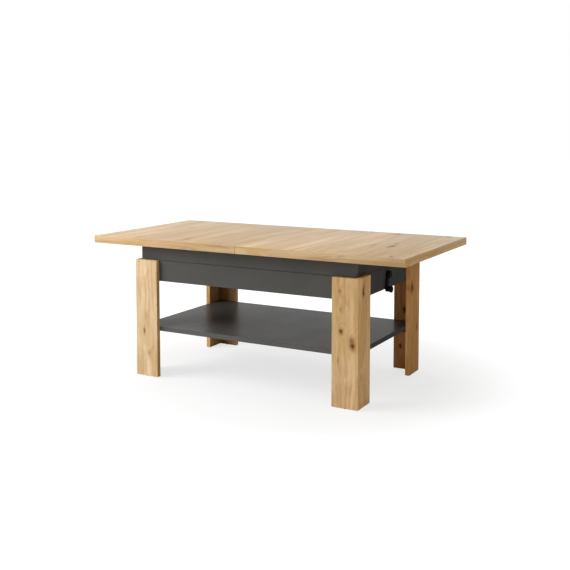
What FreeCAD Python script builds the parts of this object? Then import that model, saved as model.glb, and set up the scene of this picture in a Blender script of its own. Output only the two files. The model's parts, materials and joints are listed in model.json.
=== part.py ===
import FreeCAD, Part
import math
import os
from types import SimpleNamespace

import Sketcher

# Extending, height-adjustable coffee table. The origin is on the floor under the middle of the top,
# +X runs along the table to the crank end, -Y is the front, +Z is up. All lengths are millimetres.

DRIVING_SIZES = {
    # table top, made of two halves that slide apart
    "top_length": 1300.0,
    "top_depth": 650.0,
    "top_thickness": 28.0,
    "top_edge_radius": 1.5,
    "seam_gap": 1.0,
    "slide_travel": 200.0,
    "slide_clearance": 0.8,
    "peg_radius": 4.0,
    "peg_depth": 14.0,
    "peg_reach": 10.0,
    "peg_place": 210.0,
    "peg_clearance": 0.3,
    # corner legs, each two mitred boards
    "leg_overhang_x": 178.0,
    "leg_overhang_y": 31.0,
    "leg_height": 455.0,
    "leg_face_width": 100.0,
    "leg_side_width": 102.0,
    "leg_thickness": 18.0,
    "glide_radius": 7.0,
    "glide_thickness": 1.5,
    "dowel_radius": 4.0,
    "dowel_depth": 12.0,
    # fixed apron between the legs
    "apron_height": 80.0,
    "apron_thickness": 16.0,
    "block_leg": 24.0,
    "block_margin": 8.0,
    # shelf and the angles that hold it
    "shelf_height": 198.0,
    "shelf_thickness": 18.0,
    "shelf_edge_radius": 1.0,
    "bracket_leg": 28.0,
    "bracket_width": 22.0,
    "bracket_wall": 2.0,
    # rising frame under the top
    "lift_gap": 1.2,
    "lift_travel": 180.0,
    "frame_height": 55.0,
    "frame_thickness": 16.0,
    "frame_block_margin": 1.5,
    # rails of the scissor lift and what carries them
    "screw_rise": 53.0,
    "rail_height": 26.0,
    "rail_depth": 16.0,
    "rail_wall": 2.0,
    "plate_thickness": 4.0,
    "bearer_place": 250.0,
    "bearer_width": 45.0,
    "bearer_height": 25.0,
    "rail_screw_radius": 2.5,
    "rail_screw_length": 18.0,
    "screw_head_radius": 4.2,
    "screw_head_height": 2.2,
    # scissor arms, pins and rollers
    "pivot_inset": 34.0,
    "roller_inset": 40.0,
    "roller_width": 10.0,
    "roller_clearance": 1.0,
    "roller_end_gap": 1.0,
    "arm_height": 20.0,
    "arm_thickness": 4.0,
    "arm_spacing": 4.0,
    "arm_rail_gap": 2.5,
    "arm_leaf_gap": 13.0,
    "pin_radius": 6.0,
    "pin_collar": 3.0,
    "pin_head": 1.5,
    "pin_play": 0.3,
    "fit_clearance": 0.05,
    "centre_pin_radius": 5.0,
    "centre_clearance": 1.0,
    "tube_radius": 8.0,
    "tube_wall": 1.5,
    "tube_inset": 60.0,
    # lifting screw, its nut and the crank
    "screw_radius": 6.0,
    "screw_chamfer": 1.5,
    "screw_tail": 5.0,
    "journal_radius": 5.0,
    "collar_radius": 10.0,
    "collar_length": 6.0,
    "collar_play": 0.3,
    "nut_length": 28.0,
    "nut_width": 44.0,
    "nut_height": 30.0,
    "nut_clearance": 1.0,
    "trunnion_depth": 12.0,
    "bush_wall": 3.0,
    "bush_flange": 5.0,
    "bush_flange_length": 2.5,
    "crank_gap": 0.5,
    "hub_radius": 13.0,
    "hub_length": 13.0,
    "crank_drop": 52.0,
    "crank_swing": 14.0,
    "crank_width": 24.0,
    "crank_thickness": 6.5,
    "knob_neck_radius": 9.0,
    "knob_radius": 12.5,
    "knob_length": 17.0,
    "knob_taper": 2.5,
    "knob_gap": 0.4,
    "knob_pin_radius": 3.0,
    "knob_pin_head": 2.5,
    # runners of the two top halves
    "channel_height": 30.0,
    "channel_depth": 14.0,
    "channel_wall": 1.5,
    "channel_drop": 3.0,
    "channel_end_gap": 4.0,
    "runner_wall": 1.5,
    "runner_clearance": 0.4,
    "runner_flange": 14.0,
    "runner_inset": 20.0,
    "runner_stop": 8.0,
    "runner_screw_radius": 2.0,
    "runner_screw_length": 16.0,
    "runner_screw_inset": 30.0,
    # folding leaf kept under the top
    "leaf_thickness": 18.0,
    "leaf_end_gap": 0.5,
    "leaf_drop": 0.6,
    "leaf_fold_gap": 0.6,
    "strap_thickness": 2.0,
    "strap_width": 25.0,
    "strap_clearance": 2.5,
    "strap_place": 60.0,
    "hinge_place": 150.0,
    "hinge_length": 40.0,
    "hinge_plate_height": 11.0,
    "hinge_plate_thickness": 1.2,
    "hinge_pin_radius": 2.5,
}

# where the dowels of a leg stand, as shares of the apron's height
DOWEL_SHARES = (0.25, 0.75)


class Size:
    """A size of the table: its number, and the sheet formula that gives it."""

    def __init__(self, value, text):
        self.value = value
        self.text = text

    def __add__(self, other):
        other = as_size(other)
        return Size(self.value + other.value, f"({self.text} + {other.text})")

    def __sub__(self, other):
        other = as_size(other)
        return Size(self.value - other.value, f"({self.text} - {other.text})")

    def __mul__(self, other):
        other = as_size(other)
        return Size(self.value * other.value, f"({self.text} * {other.text})")

    def __rmul__(self, other):
        return as_size(other) * self

    def __truediv__(self, other):
        other = as_size(other)
        return Size(self.value / other.value, f"({self.text} / {other.text})")

    def __neg__(self):
        return Size(-self.value, f"(-{self.text})")


def as_size(thing):
    return thing if isinstance(thing, Size) else Size(float(thing), repr(thing))


def square_root(size):
    return Size(math.sqrt(size.value), f"sqrt({size.text})")


def slope_angle(rise, run):
    return Size(math.degrees(math.atan2(rise.value, run.value)), f"atan({rise.text} / {run.text})")


doc = FreeCAD.newDocument("CoffeeTable")
sheet = doc.addObject("Spreadsheet::Sheet", "Sizes")
for row, (alias, number) in enumerate(DRIVING_SIZES.items(), start=1):
    sheet.set(f"A{row}", alias)
    sheet.set(f"B{row}", str(number))
    sheet.setAlias(f"B{row}", alias)
doc.recompute()
sizes = SimpleNamespace()
for alias, number in DRIVING_SIZES.items():
    setattr(sizes, alias, Size(number, f"Sizes.{alias}"))

nodes = {}

X_AXIS = FreeCAD.Vector(1, 0, 0)
Y_AXIS = FreeCAD.Vector(0, 1, 0)
Z_AXIS = FreeCAD.Vector(0, 0, 1)


# Helpers that draw and place single pieces

def bind(piece, name, size):
    piece.setExpression(name, as_size(size).text)


def place(piece, x, y, z, axis=None, degrees=0):
    """Puts the origin of a piece at x, y, z, with the piece turned about an axis through it."""
    if axis:
        turn = FreeCAD.Rotation(axis, as_size(degrees).value)
        piece.Placement = FreeCAD.Placement(FreeCAD.Vector(), turn)
    if isinstance(degrees, Size):
        bind(piece, "Placement.Rotation.Angle", degrees)
    for name, size in zip("xyz", (x, y, z)):
        bind(piece, f"Placement.Base.{name}", size)
    return piece


def as_node(name, piece):
    """Names a finished sub-part after its file."""
    piece.Label = name
    nodes[name] = piece
    return piece


def group(name, members):
    """Several like solids under one name."""
    gathered = doc.addObject("Part::Compound", "Group")
    gathered.Links = members
    return as_node(name, gathered)


def new_sketch(body, plane):
    support = [item for item in body.Origin.OriginFeatures if item.Role == plane][0]
    sketch = body.newObject("Sketcher::SketchObject", "Sketch")
    sketch.AttachmentSupport = [(support, "")]
    sketch.MapMode = "FlatFace"
    return sketch


def as_vector(point):
    return FreeCAD.Vector(as_size(point[0]).value, as_size(point[1]).value, 0)


def add_measure(sketch, constraint, size):
    number = sketch.addConstraint(constraint)
    sketch.setExpression(f"Constraints[{number}]", size.text)


def fix_point(sketch, geometry, end, point):
    """Ties one point of a sketch to its place from the sketch's origin."""
    for kind, axis, size in (("DistanceX", -2, point[0]), ("DistanceY", -1, point[1])):
        size = as_size(size)
        if size.value == 0:
            sketch.addConstraint(Sketcher.Constraint("PointOnObject", geometry, end, axis))
        else:
            add_measure(sketch, Sketcher.Constraint(kind, -1, 1, geometry, end, size.value), size)


def draw_outline(sketch, points):
    """A closed outline of straight lines."""
    places = [as_vector(point) for point in points]
    for first, second in zip(places, places[1:] + places[:1]):
        sketch.addGeometry(Part.LineSegment(first, second), False)
    for line in range(len(points)):
        following = (line + 1) % len(points)
        sketch.addConstraint(Sketcher.Constraint("Coincident", line, 2, following, 1))
    for line, point in enumerate(points):
        fix_point(sketch, line, 1, point)


def draw_circle(sketch, centre, radius):
    circle = sketch.addGeometry(Part.Circle(as_vector(centre), Z_AXIS, radius.value), False)
    fix_point(sketch, circle, 3, centre)
    add_measure(sketch, Sketcher.Constraint("Radius", circle, radius.value), radius)


def draw_bar(sketch, length, half_height):
    """A bar with round ends, from the sketch's origin along its first axis."""
    reach = as_vector((length, 0))
    up = as_vector((0, half_height))
    quarter = math.pi / 2
    near_end = Part.Circle(FreeCAD.Vector(), Z_AXIS, half_height.value)
    far_end = Part.Circle(reach, Z_AXIS, half_height.value)
    near = sketch.addGeometry(Part.ArcOfCircle(near_end, quarter, 3 * quarter), False)
    lower = sketch.addGeometry(Part.LineSegment(-up, reach - up), False)
    far = sketch.addGeometry(Part.ArcOfCircle(far_end, -quarter, quarter), False)
    upper = sketch.addGeometry(Part.LineSegment(reach + up, up), False)
    for first, second in ((near, lower), (lower, far), (far, upper), (upper, near)):
        sketch.addConstraint(Sketcher.Constraint("Tangent", first, 2, second, 1))
    sketch.addConstraint(Sketcher.Constraint("Coincident", near, 3, -1, 1))
    sketch.addConstraint(Sketcher.Constraint("Equal", near, far))
    add_measure(sketch, Sketcher.Constraint("Radius", near, half_height.value), half_height)
    fix_point(sketch, far, 3, (length, 0))


def pad(body, sketch, depth):
    feature = body.newObject("PartDesign::Pad", "Pad")
    feature.Profile = sketch
    bind(feature, "Length", depth)
    return feature


def extruded(plane, points, depth, holes=()):
    """A body of constant section: its outline, any round holes as (centre, radius), and its depth."""
    body = doc.addObject("PartDesign::Body", "Body")
    sketch = new_sketch(body, plane)
    draw_outline(sketch, points)
    for centre, radius in holes:
        draw_circle(sketch, centre, radius)
    pad(body, sketch, depth)
    return body


def rectangle(width, height):
    return ((0, 0), (width, 0), (width, height), (0, height))


def board(length, width, thickness, edge_radius=None):
    """A board that lies flat, from its own corner, with all its edges rounded if a radius is given."""
    body = extruded("XY_Plane", rectangle(length, width), thickness)
    if edge_radius:
        doc.recompute()
        square_board = body.Tip
        rounding = body.newObject("PartDesign::Fillet", "Fillet")
        rounding.Base = (square_board, ["Edge1"])
        rounding.UseAllEdges = True
        bind(rounding, "Radius", edge_radius)
    return body


def turned(profile):
    """A round body about its own X axis, from (distance along the axis, radius) points."""
    body = doc.addObject("PartDesign::Body", "Body")
    sketch = new_sketch(body, "XY_Plane")
    draw_outline(sketch, profile)
    spin = body.newObject("PartDesign::Revolution", "Revolution")
    spin.Profile = sketch
    spin.ReferenceAxis = (sketch, ["H_Axis"])
    spin.Angle = 360
    return body


def ring(inner_radius, outer_radius, length):
    return turned(((0, inner_radius), (length, inner_radius), (length, outer_radius), (0, outer_radius)))


def rod(radius, length):
    """A plain round rod that stands on its own origin."""
    piece = doc.addObject("Part::Cylinder", "Rod")
    bind(piece, "Radius", radius)
    bind(piece, "Height", length)
    return piece


def channel(depth, height, wall, length):
    """A C-section along X, with its back at the origin and its mouth towards +Y."""
    section = (
        (0, 0), (depth, 0), (depth, wall), (wall, wall),
        (wall, height - wall), (depth, height - wall), (depth, height), (0, height),
    )
    return extruded("YZ_Plane", section, length)


def front_and_back(make, x, y, z):
    """A piece and its like across the table: made with its +X outwards, at y from the middle."""
    return [
        place(make(), x, -y, z, Z_AXIS, -90),
        place(make(), x, y, z, Z_AXIS, 90),
    ]


def facing_pair(make, half_length, y, z):
    """A long section along X at the front, with its mouth to the middle, and its like at the back."""
    return [
        place(make(), -half_length, -y, z),
        place(make(), half_length, y, z, Z_AXIS, 180),
    ]


# Planes and heights that several pieces share

leg_x = sizes.top_length / 2 - sizes.leg_overhang_x
leg_y = sizes.top_depth / 2 - sizes.leg_overhang_y
apron_x = leg_x - sizes.leg_thickness
apron_y = leg_y - sizes.leg_thickness
apron_inner_x = apron_x - sizes.apron_thickness
apron_inner_y = apron_y - sizes.apron_thickness
apron_bottom = sizes.leg_height - sizes.apron_height
frame_inner_x = apron_x - sizes.frame_thickness
frame_inner_y = apron_y - sizes.frame_thickness
frame_bottom = sizes.leg_height + sizes.lift_gap
frame_top = frame_bottom + sizes.frame_height
top_bottom = frame_top + sizes.slide_clearance

screw_z = apron_bottom + sizes.screw_rise
lift_rail_z = frame_top - sizes.strap_thickness - sizes.rail_height / 2
base_rail_half = apron_inner_x - sizes.plate_thickness
lift_rail_half = frame_inner_x - sizes.plate_thickness

pivot_x = base_rail_half - sizes.pivot_inset
roller_x = base_rail_half - sizes.roller_inset
arm_run = pivot_x + roller_x
arm_rise = lift_rail_z - screw_z
arm_length = square_root(arm_run * arm_run + arm_rise * arm_rise)
arm_angle = slope_angle(arm_rise, arm_run)

leaf_half = sizes.top_depth / 4
inner_arm_y = leaf_half + sizes.arm_leaf_gap
outer_arm_y = inner_arm_y + sizes.arm_thickness + sizes.arm_spacing
rail_mouth_y = outer_arm_y + sizes.arm_thickness + sizes.arm_rail_gap
rail_back_y = rail_mouth_y + sizes.rail_depth
rail_web_y = rail_back_y - sizes.rail_wall
axle_end_y = rail_web_y - sizes.roller_end_gap

# the four corners of the table: name, side along X, side along Y, turn of a corner piece drawn at the first
CORNERS = (
    ("front_left", -1, -1, 0),
    ("front_right", 1, -1, 90),
    ("back_right", 1, 1, 180),
    ("back_left", -1, 1, 270),
)


# Legs, apron and shelf, which stand still

def leg_board(width, along_x):
    """One board of a corner leg, mitred at the corner, which is the sketch's origin."""
    mitre = (sizes.leg_thickness, sizes.leg_thickness)
    if along_x:
        outline = ((0, 0), (width, 0), (width, sizes.leg_thickness), mitre)
    else:
        outline = ((0, 0), mitre, (sizes.leg_thickness, width), (0, width))
    return extruded("XY_Plane", outline, sizes.leg_height - sizes.glide_thickness)


def make_legs():
    for name, side_x, side_y, degrees in CORNERS:
        face_along_x = degrees in (0, 180)
        for kind, width, along_x in (
            ("face", sizes.leg_face_width, face_along_x),
            ("side", sizes.leg_side_width, not face_along_x),
        ):
            piece = leg_board(width, along_x)
            place(piece, side_x * leg_x, side_y * leg_y, sizes.glide_thickness, Z_AXIS, degrees)
            as_node(f"{name}_leg_{kind}", piece)


def leg_board_middles():
    """The middle of each leg board in plan, and whether the board faces the front or back."""
    face_x = leg_x - sizes.leg_face_width / 2
    face_y = leg_y - sizes.leg_thickness / 2
    side_x = leg_x - sizes.leg_thickness / 2
    side_y = leg_y - sizes.leg_side_width / 2
    for _, sign_x, sign_y, _ in CORNERS:
        yield sign_x, sign_y, face_x, face_y, True
        yield sign_x, sign_y, side_x, side_y, False


def make_glides():
    glides = []
    for sign_x, sign_y, x, y, _ in leg_board_middles():
        glide = rod(sizes.glide_radius, sizes.glide_thickness)
        glides.append(place(glide, sign_x * x, sign_y * y, 0))
    group("floor_glides", glides)


def make_dowels():
    """Glued pins that cross from each leg board into the apron."""
    dowels = []
    for sign_x, sign_y, x, y, on_face in leg_board_middles():
        for share in DOWEL_SHARES:
            pin = rod(sizes.dowel_radius, 2 * sizes.dowel_depth)
            z = apron_bottom + share * sizes.apron_height
            if on_face:
                place(pin, sign_x * x, sign_y * apron_y - sizes.dowel_depth, z, X_AXIS, -90)
            else:
                place(pin, sign_x * apron_x - sizes.dowel_depth, sign_y * y, z, Y_AXIS, 90)
            dowels.append(pin)
    group("leg_dowels", dowels)


def long_board(half_length, thickness, height):
    return board(2 * half_length, thickness, height)


def end_board(half_width, thickness, height, holes=()):
    return extruded("YZ_Plane", rectangle(2 * half_width, height), thickness, holes)


def corner_blocks(name, corner_x, corner_y, bottom, top):
    """Triangular blocks glued into the four corners of a box of boards."""
    outline = ((0, 0), (sizes.block_leg, 0), (0, sizes.block_leg))
    blocks = []
    for _, side_x, side_y, degrees in CORNERS:
        block = extruded("XY_Plane", outline, top - bottom)
        blocks.append(place(block, side_x * corner_x, side_y * corner_y, bottom, Z_AXIS, degrees))
    group(name, blocks)


def make_apron():
    front = long_board(apron_x, sizes.apron_thickness, sizes.apron_height)
    as_node("apron_front", place(front, -apron_x, -apron_y, apron_bottom))
    back = long_board(apron_x, sizes.apron_thickness, sizes.apron_height)
    as_node("apron_back", place(back, -apron_x, apron_inner_y, apron_bottom))
    left = end_board(apron_inner_y, sizes.apron_thickness, sizes.apron_height)
    as_node("apron_left", place(left, -apron_x, -apron_inner_y, apron_bottom))
    bush_hole = ((apron_inner_y, sizes.screw_rise), bush_radius + sizes.fit_clearance)
    right = end_board(apron_inner_y, sizes.apron_thickness, sizes.apron_height, (bush_hole,))
    as_node("apron_right", place(right, apron_inner_x, -apron_inner_y, apron_bottom))
    corner_blocks(
        "apron_corner_blocks", apron_inner_x, apron_inner_y,
        apron_bottom + sizes.block_margin, sizes.leg_height - sizes.block_margin,
    )


def shelf_bracket():
    """A small steel angle: one leg on the leg board, the other under the shelf."""
    leg = sizes.bracket_leg
    wall = sizes.bracket_wall
    section = ((0, 0), (wall, 0), (wall, leg - wall), (leg, leg - wall), (leg, leg), (0, leg))
    return extruded("YZ_Plane", section, sizes.bracket_width)


def make_shelf():
    shelf = board(2 * apron_x, 2 * apron_y, sizes.shelf_thickness, sizes.shelf_edge_radius)
    as_node("shelf", place(shelf, -apron_x, -apron_y, sizes.shelf_height - sizes.shelf_thickness))
    brackets = []
    half = sizes.bracket_width / 2
    z = sizes.shelf_height - sizes.shelf_thickness - sizes.bracket_leg
    for sign_x, sign_y, x, y, on_face in leg_board_middles():
        bracket = shelf_bracket()
        if on_face:
            degrees = 0 if sign_y < 0 else 180
            place(bracket, sign_x * x + sign_y * half, sign_y * apron_y, z, Z_AXIS, degrees)
        else:
            degrees = 90 if sign_x > 0 else 270
            place(bracket, sign_x * apron_x, sign_y * y - sign_x * half, z, Z_AXIS, degrees)
        brackets.append(bracket)
    group("shelf_brackets", brackets)


# Lower half of the lift: rails on wooden bearers inside the apron

def rail_pair(half_length, bottom):
    """The front and back rail that the rollers run in, mouths to the middle."""
    return facing_pair(
        lambda: channel(sizes.rail_depth, sizes.rail_height, sizes.rail_wall, 2 * half_length),
        half_length, rail_back_y, bottom,
    )


def end_plate(holes=()):
    return extruded("YZ_Plane", rectangle(2 * rail_back_y, sizes.rail_height), sizes.plate_thickness, holes)


def pivot_pin(length):
    """A pin from the web of a rail through an arm, with a head inside the arm."""
    head = sizes.pin_radius + sizes.pin_collar
    return turned((
        (0, 0), (sizes.pin_head + length, 0), (sizes.pin_head + length, sizes.pin_radius),
        (sizes.pin_head, sizes.pin_radius), (sizes.pin_head, head), (0, head),
    ))


def make_pivot_pins(name, arm_y, z):
    start_y = arm_y - sizes.pin_play - sizes.pin_head
    length = rail_web_y - arm_y + sizes.pin_play
    group(name, front_and_back(lambda: pivot_pin(length), -pivot_x, start_y, z))


def make_base_lift():
    bottom = screw_z - sizes.rail_height / 2
    bearers = []
    for side in (-1, 1):
        bearer = board(sizes.bearer_width, 2 * apron_inner_y, sizes.bearer_height)
        x = side * sizes.bearer_place - sizes.bearer_width / 2
        bearers.append(place(bearer, x, -apron_inner_y, bottom - sizes.bearer_height))
    group("bearers", bearers)

    group("base_rails", rail_pair(base_rail_half, bottom))
    journal_hole = ((rail_back_y, sizes.rail_height / 2), sizes.journal_radius + sizes.fit_clearance)
    thrust_plate = place(end_plate((journal_hole,)), base_rail_half, -rail_back_y, bottom)
    left_plate = place(end_plate(), -apron_inner_x, -rail_back_y, bottom)
    group("base_end_plates", [left_plate, thrust_plate])
    make_pivot_pins("base_pivot_pins", inner_arm_y, screw_z)

    screws = []
    screw_y = (rail_mouth_y + rail_web_y) / 2
    for side_x in (-1, 1):
        for side_y in (-1, 1):
            screw = flat_screw(sizes.rail_screw_radius, sizes.rail_screw_length)
            z = bottom + sizes.rail_wall + sizes.screw_head_height
            screws.append(place(screw, side_x * sizes.bearer_place, side_y * screw_y, z, Y_AXIS, 90))
    group("rail_screws", screws)


def flat_screw(radius, length):
    """A pan-head screw along its own X axis, from the top of its head to its end."""
    end = sizes.screw_head_height + length
    return turned((
        (0, 0), (end, 0), (end, radius), (sizes.screw_head_height, radius),
        (sizes.screw_head_height, sizes.screw_head_radius), (0, sizes.screw_head_radius),
    ))


# Rising frame: box of boards, upper rails, runner channels and the stored leaf

channel_bottom = frame_top - sizes.channel_drop - sizes.channel_height


def make_frame():
    front = long_board(apron_x, sizes.frame_thickness, sizes.frame_height)
    as_node("frame_front", place(front, -apron_x, -apron_y, frame_bottom))
    back = long_board(apron_x, sizes.frame_thickness, sizes.frame_height)
    as_node("frame_back", place(back, -apron_x, frame_inner_y, frame_bottom))
    left = end_board(frame_inner_y, sizes.frame_thickness, sizes.frame_height)
    as_node("frame_left", place(left, -apron_x, -frame_inner_y, frame_bottom))
    right = end_board(frame_inner_y, sizes.frame_thickness, sizes.frame_height)
    as_node("frame_right", place(right, frame_inner_x, -frame_inner_y, frame_bottom))
    corner_blocks(
        "frame_corner_blocks", frame_inner_x, frame_inner_y,
        frame_bottom + sizes.frame_block_margin, channel_bottom - sizes.frame_block_margin,
    )

    bottom = lift_rail_z - sizes.rail_height / 2
    group("lift_rails", rail_pair(lift_rail_half, bottom))
    left_plate = place(end_plate(), -frame_inner_x, -rail_back_y, bottom)
    right_plate = place(end_plate(), lift_rail_half, -rail_back_y, bottom)
    group("lift_end_plates", [left_plate, right_plate])
    make_pivot_pins("lift_pivot_pins", outer_arm_y, lift_rail_z)

    half_length = frame_inner_x - sizes.channel_end_gap
    group("runner_channels", facing_pair(
        lambda: channel(sizes.channel_depth, sizes.channel_height, sizes.channel_wall, 2 * half_length),
        half_length, frame_inner_y, channel_bottom,
    ))


def make_leaf():
    half_length = sizes.slide_travel - sizes.leaf_end_gap
    upper_bottom = frame_top - sizes.leaf_drop - sizes.leaf_thickness
    lower_bottom = upper_bottom - sizes.leaf_fold_gap - sizes.leaf_thickness
    for name, bottom in (("leaf_lower_half", lower_bottom), ("leaf_upper_half", upper_bottom)):
        half = board(2 * half_length, 2 * leaf_half, sizes.leaf_thickness, sizes.top_edge_radius)
        as_node(name, place(half, -half_length, -leaf_half, bottom))

    hinges = []
    fold_z = upper_bottom - sizes.leaf_fold_gap / 2
    for side in (-1, 1):
        x = side * sizes.hinge_place - sizes.hinge_length / 2
        barrel = rod(sizes.hinge_pin_radius, sizes.hinge_length)
        hinges.append(place(barrel, x, -leaf_half - sizes.hinge_pin_radius, fold_z, Y_AXIS, 90))
        above = fold_z + sizes.hinge_pin_radius
        below = fold_z - sizes.hinge_pin_radius - sizes.hinge_plate_height
        for z in (above, below):
            plate = board(sizes.hinge_length, sizes.hinge_plate_thickness, sizes.hinge_plate_height)
            hinges.append(place(plate, x, -leaf_half - sizes.hinge_plate_thickness, z))
    group("leaf_hinges", hinges)
    make_cradles(lower_bottom)


def make_cradles(leaf_bottom):
    """Two bent straps that hang from the upper rails and carry the folded leaf."""
    wall = sizes.strap_thickness
    width = 2 * rail_back_y
    drop = frame_top - leaf_bottom + wall
    outside = rail_back_y - leaf_half - sizes.strap_clearance - wall
    inside = outside + wall
    section = (
        (outside, 0), (width - outside, 0), (width - outside, drop - wall), (width, drop - wall),
        (width, drop), (width - inside, drop), (width - inside, wall), (inside, wall),
        (inside, drop), (0, drop), (0, drop - wall), (outside, drop - wall),
    )
    straps = []
    for side in (-1, 1):
        x = side * sizes.strap_place - sizes.strap_width / 2
        strap = extruded("YZ_Plane", section, sizes.strap_width)
        straps.append(place(strap, x, -rail_back_y, leaf_bottom - wall))
    group("leaf_cradles", straps)


# Sliding halves of the top, with their runners

runner_bottom = channel_bottom + sizes.channel_wall + sizes.runner_clearance
runner_tip_y = frame_inner_y - sizes.channel_wall - sizes.runner_clearance
runner_web = sizes.channel_depth - sizes.channel_wall
runner_far_x = frame_inner_x - sizes.slide_travel - sizes.runner_stop
runner_length = runner_far_x - sizes.runner_inset


def top_panel(peg_hole_radius, peg_hole_depth):
    """One half of the top, from the front corner of its seam, with the peg holes in the seam."""
    length = sizes.top_length / 2 - sizes.seam_gap / 2
    body = board(length, sizes.top_depth, sizes.top_thickness, sizes.top_edge_radius)
    doc.recompute()
    solid_volume = body.Shape.Volume
    sketch = new_sketch(body, "YZ_Plane")
    for side in (-1, 1):
        y = sizes.top_depth / 2 + side * sizes.peg_place
        draw_circle(sketch, (y, sizes.top_thickness / 2), peg_hole_radius)
    pocket = body.newObject("PartDesign::Pocket", "Pocket")
    pocket.Profile = sketch
    pocket.Reversed = True
    bind(pocket, "Length", peg_hole_depth)
    doc.recompute()
    if body.Shape.Volume >= solid_volume:
        raise RuntimeError("the peg holes did not cut the panel")
    return body


def runner():
    """A sliding rail: two flanges in the channel, a web beside its mouth, a flange under the top."""
    height = top_bottom - runner_bottom
    inner_height = sizes.channel_height - 2 * sizes.channel_wall - 2 * sizes.runner_clearance
    wall = sizes.runner_wall
    web_end = runner_web + wall
    flange_end = web_end + sizes.runner_flange
    section = (
        (0, 0), (web_end, 0), (web_end, height - wall), (flange_end, height - wall),
        (flange_end, height), (runner_web, height), (runner_web, inner_height), (0, inner_height),
        (0, inner_height - wall), (runner_web, inner_height - wall), (runner_web, wall), (0, wall),
    )
    return extruded("YZ_Plane", section, runner_length)


def make_runners(name, side):
    """The front and back runner of one half, side -1 for the left and 1 for the right."""
    near_x = -runner_far_x if side < 0 else sizes.runner_inset
    far_x = near_x + runner_length
    front = place(runner(), near_x, -runner_tip_y, runner_bottom)
    back = place(runner(), far_x, runner_tip_y, runner_bottom, Z_AXIS, 180)
    group(f"{name}_runners", [front, back])

    screws = []
    screw_y = runner_tip_y - runner_web - sizes.runner_wall - sizes.runner_flange / 2
    screw_z_start = top_bottom - sizes.runner_wall - sizes.screw_head_height
    for x in (near_x + sizes.runner_screw_inset, far_x - sizes.runner_screw_inset):
        for side_y in (-1, 1):
            screw = flat_screw(sizes.runner_screw_radius, sizes.runner_screw_length)
            screws.append(place(screw, x, side_y * screw_y, screw_z_start, Y_AXIS, -90))
    group(f"{name}_runner_screws", screws)


def make_top():
    half_gap = sizes.seam_gap / 2
    half_depth = sizes.top_depth / 2
    left = top_panel(sizes.peg_radius, sizes.peg_depth)
    as_node("left_top_panel", place(left, -half_gap, half_depth, top_bottom, Z_AXIS, 180))
    loose_radius = sizes.peg_radius + sizes.peg_clearance
    right = top_panel(loose_radius, sizes.peg_reach + sizes.peg_clearance)
    as_node("right_top_panel", place(right, half_gap, -half_depth, top_bottom))
    pegs = []
    for side in (-1, 1):
        peg = rod(sizes.peg_radius, sizes.peg_depth + sizes.seam_gap + sizes.peg_reach)
        x = -half_gap - sizes.peg_depth
        pegs.append(place(peg, x, side * sizes.peg_place, top_bottom + sizes.top_thickness / 2, Y_AXIS, 90))
    group("seam_pegs", pegs)
    make_runners("left", -1)
    make_runners("right", 1)


# Scissor arms. The inner pair turns on the base, the outer pair on the rising frame

def arm(centre_hole_radius):
    """A flat bar from its fixed pivot, with holes at both ends and in the middle."""
    body = doc.addObject("PartDesign::Body", "Body")
    sketch = new_sketch(body, "XZ_Plane")
    draw_bar(sketch, arm_length, sizes.arm_height / 2)
    end_hole = sizes.pin_radius + sizes.fit_clearance
    draw_circle(sketch, (0, 0), end_hole)
    draw_circle(sketch, (arm_length / 2, 0), centre_hole_radius)
    draw_circle(sketch, (arm_length, 0), end_hole)
    pad(body, sketch, sizes.arm_thickness)
    return body


def make_arm_pair(name, inner_y, z, axis, centre_hole_radius):
    front = place(arm(centre_hole_radius), -pivot_x, -inner_y, z, axis, arm_angle)
    as_node(f"{name}_arm_front", front)
    back = place(arm(centre_hole_radius), -pivot_x, inner_y + sizes.arm_thickness, z, axis, arm_angle)
    as_node(f"{name}_arm_back", back)


def cross_tube(half_width, distance, z_start, side_z):
    """A tube between two arms, at a distance along them from their fixed pivots."""
    tube = ring(sizes.tube_radius - sizes.tube_wall, sizes.tube_radius, 2 * half_width)
    x = distance * arm_run / arm_length - pivot_x
    z = z_start + side_z * distance * arm_rise / arm_length
    return place(tube, x, -half_width, z, Z_AXIS, 90)


def centre_pin():
    """The pin where two arms cross: head, inner arm, spacer, outer arm, head."""
    radius = sizes.centre_pin_radius
    head = radius + sizes.centre_clearance + sizes.pin_collar
    head_end = sizes.pin_head
    arm_end = head_end + sizes.arm_thickness
    spacer_end = arm_end + sizes.arm_spacing - sizes.pin_play
    shank_end = spacer_end + sizes.arm_thickness + 2 * sizes.pin_play
    end = shank_end + sizes.pin_head
    return turned((
        (0, 0), (end, 0), (end, head), (shank_end, head), (shank_end, radius), (spacer_end, radius),
        (spacer_end, head), (arm_end, head), (arm_end, radius), (head_end, radius), (head_end, head),
        (0, head),
    ))


def roller():
    outer = sizes.rail_height / 2 - sizes.rail_wall - sizes.roller_clearance
    return ring(sizes.pin_radius + sizes.fit_clearance, outer, sizes.roller_width)


def make_rollers(name, z):
    y = rail_mouth_y + (sizes.rail_depth - sizes.rail_wall - sizes.roller_width) / 2
    group(name, front_and_back(roller, roller_x, y, z))


def make_inner_scissor():
    centre_hole = sizes.centre_pin_radius + sizes.fit_clearance
    make_arm_pair("inner", inner_arm_y, screw_z, -Y_AXIS, centre_hole)
    near = cross_tube(inner_arm_y, sizes.tube_inset, screw_z, 1)
    far = cross_tube(inner_arm_y, arm_length - sizes.tube_inset, screw_z, 1)
    group("inner_cross_tubes", [near, far])
    middle_x = arm_run / 2 - pivot_x
    group("centre_pins", front_and_back(
        centre_pin, middle_x, inner_arm_y - sizes.pin_head, screw_z + arm_rise / 2,
    ))
    length = axle_end_y - inner_arm_y
    group("roller_axles", front_and_back(
        lambda: pivot_pin(length), roller_x, inner_arm_y - sizes.pin_head, lift_rail_z,
    ))
    make_rollers("upper_rollers", lift_rail_z)


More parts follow.
